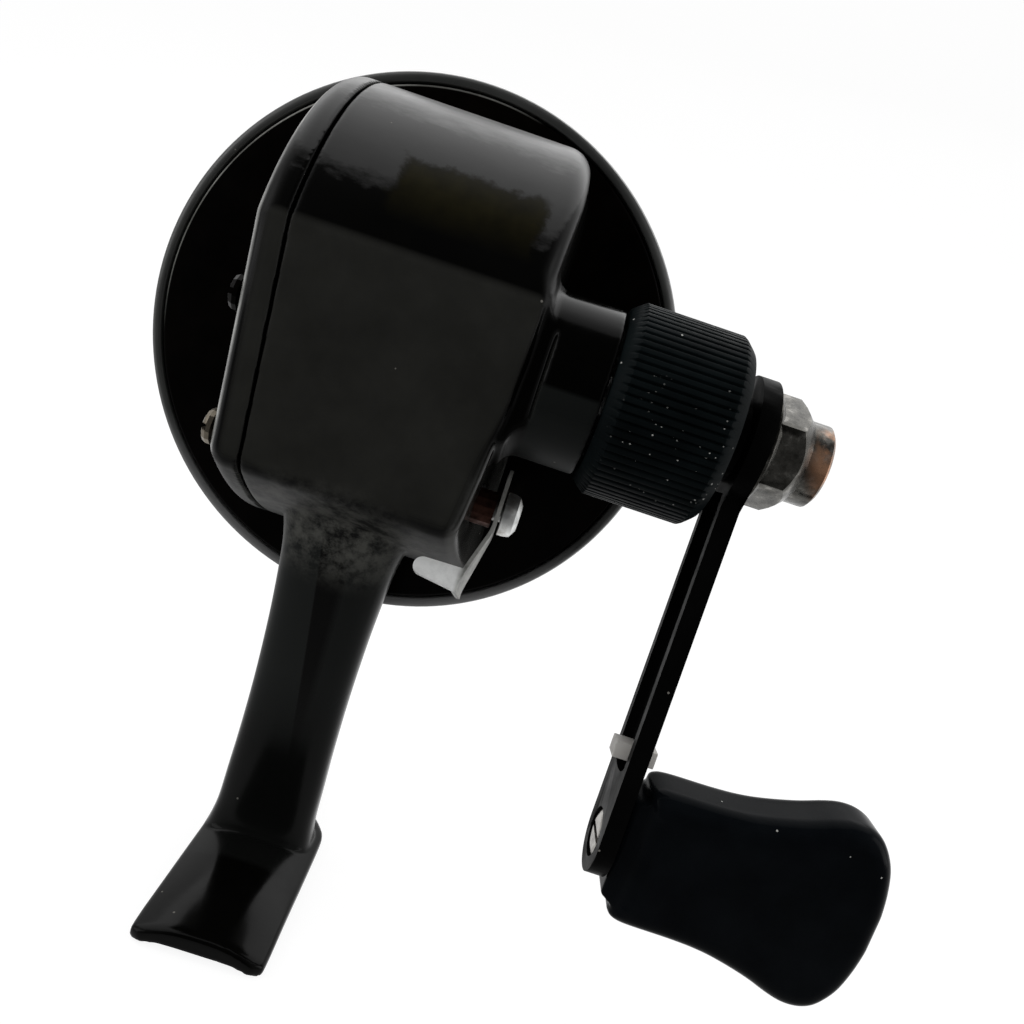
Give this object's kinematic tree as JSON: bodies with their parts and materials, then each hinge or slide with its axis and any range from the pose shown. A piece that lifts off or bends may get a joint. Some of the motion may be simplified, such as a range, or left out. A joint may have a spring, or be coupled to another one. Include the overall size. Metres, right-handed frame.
{
  "type": "spincast reel",
  "caption": "Underslung closed-face fishing reel with a foot on a stem, a knurled drag knob, a crank arm with a paddle knob, an anti-reverse lever and a push-button line release.",
  "frame": {"origin": "centre of the foot's flat seat, where the rod lies", "axes": "+Z away from the rod through the reel, +Y the way the line leaves, +X the crank's side"},
  "size_m": [0.1153, 0.0608, 0.109],
  "materials": {
    "black_paint": "gloss black enamel on die-cast aluminium",
    "plate_paint": "satin black enamel on spun aluminium",
    "housing_paint": "gloss dark grey enamel on drawn aluminium",
    "black_plastic": "satin black moulded plastic",
    "gloss_plastic": "gloss black moulded plastic",
    "nickel": "nickel plate",
    "zinc": "bright zinc plate on steel",
    "steel": "plain turned steel",
    "brass": "turned brass",
    "bronze": "sintered bronze",
    "felt": "oiled felt",
    "nylon": "white nylon",
    "chrome": "hard chrome plate"
  },
  "bodies": {
    "frame": {"body_frame": "black_paint", "side_cover": "black_paint", "side_cover_screw_1": "nickel", "side_cover_screw_2": "nickel", "side_cover_screw_3": "nickel", "rear_plate": "plate_paint", "plate_screw_1": "steel", "plate_screw_2": "steel", "plate_screw_3": "steel", "front_cover": "housing_paint", "nose_ring": "chrome", "spool": "black_plastic", "spool_clip": "steel", "front_bush": "bronze", "rear_bush": "bronze", "crank_bush": "bronze", "lever_bush": "bronze"},
    "crank": {"crank_shaft": "steel", "drive_gear": "brass", "gear_friction_washer": "felt", "ratchet_wheel": "steel", "crank_arm": "black_paint", "crank_nut": "zinc", "arm_peg": "nylon", "knob_spindle": "nickel", "drag_spring": "steel", "drag_washer": "steel"},
    "drag_knob": {"drag_knob": "black_plastic"},
    "paddle_knob": {"paddle_knob": "gloss_plastic"},
    "rotor": {"pinion_shaft": "steel", "winding_cup": "steel", "cup_nut": "brass", "release_spring": "steel"},
    "release_button": {"release_button": "gloss_plastic"},
    "pickup_pin_right": {"pickup_pin_right": "chrome"},
    "pickup_pin_left": {"pickup_pin_left": "chrome"},
    "anti_reverse": {"anti_reverse_lever": "zinc", "lever_pivot": "zinc", "anti_reverse_pawl": "steel"}
  },
  "joints": [
    {"name": "crank_turn", "type": "hinge", "parent": "frame", "child": "crank", "pos_m": [0, -0.0082, 0.0746], "axis": [1, 0, 0], "continuous": true},
    {"name": "rotor_spin", "type": "hinge", "parent": "frame", "child": "rotor", "pos_m": [-0.001, 0.0083, 0.0714], "axis": [0, 1, 0], "continuous": true},
    {"name": "drag_knob_turn", "type": "hinge", "parent": "crank", "child": "drag_knob", "pos_m": [0, -0.0082, 0.0746], "axis": [1, 0, 0], "range_deg": [-180, 540]},
    {"name": "paddle_spin", "type": "hinge", "parent": "crank", "child": "paddle_knob", "pos_m": [0, -0.0126, 0.02329], "axis": [1, 0, 0], "continuous": true},
    {"name": "release_button_press", "type": "slide", "parent": "rotor", "child": "release_button", "axis": [0, -1, 0], "range_m": [0, 0.003], "stiffness_N_per_m": 250, "springref_m": -0.002},
    {"name": "pickup_pin_right_slide", "type": "slide", "parent": "rotor", "child": "pickup_pin_right", "axis": [-1, 0, 0], "range_m": [0, 0.0015]},
    {"name": "pickup_pin_left_slide", "type": "slide", "parent": "rotor", "child": "pickup_pin_left", "axis": [1, 0, 0], "range_m": [0, 0.0015]},
    {"name": "anti_reverse_swing", "type": "hinge", "parent": "frame", "child": "anti_reverse", "pos_m": [0, -0.0077, 0.0571], "axis": [1, 0, 0], "range_deg": [0, 8]}
  ],
  "couplings": [
    {"joint": "rotor_spin", "follows": "crank_turn", "ratio": -2.4},
    {"joint": "pickup_pin_right_slide", "follows": "release_button_press", "ratio": 0.5},
    {"joint": "pickup_pin_left_slide", "follows": "release_button_press", "ratio": 0.5}
  ]
}
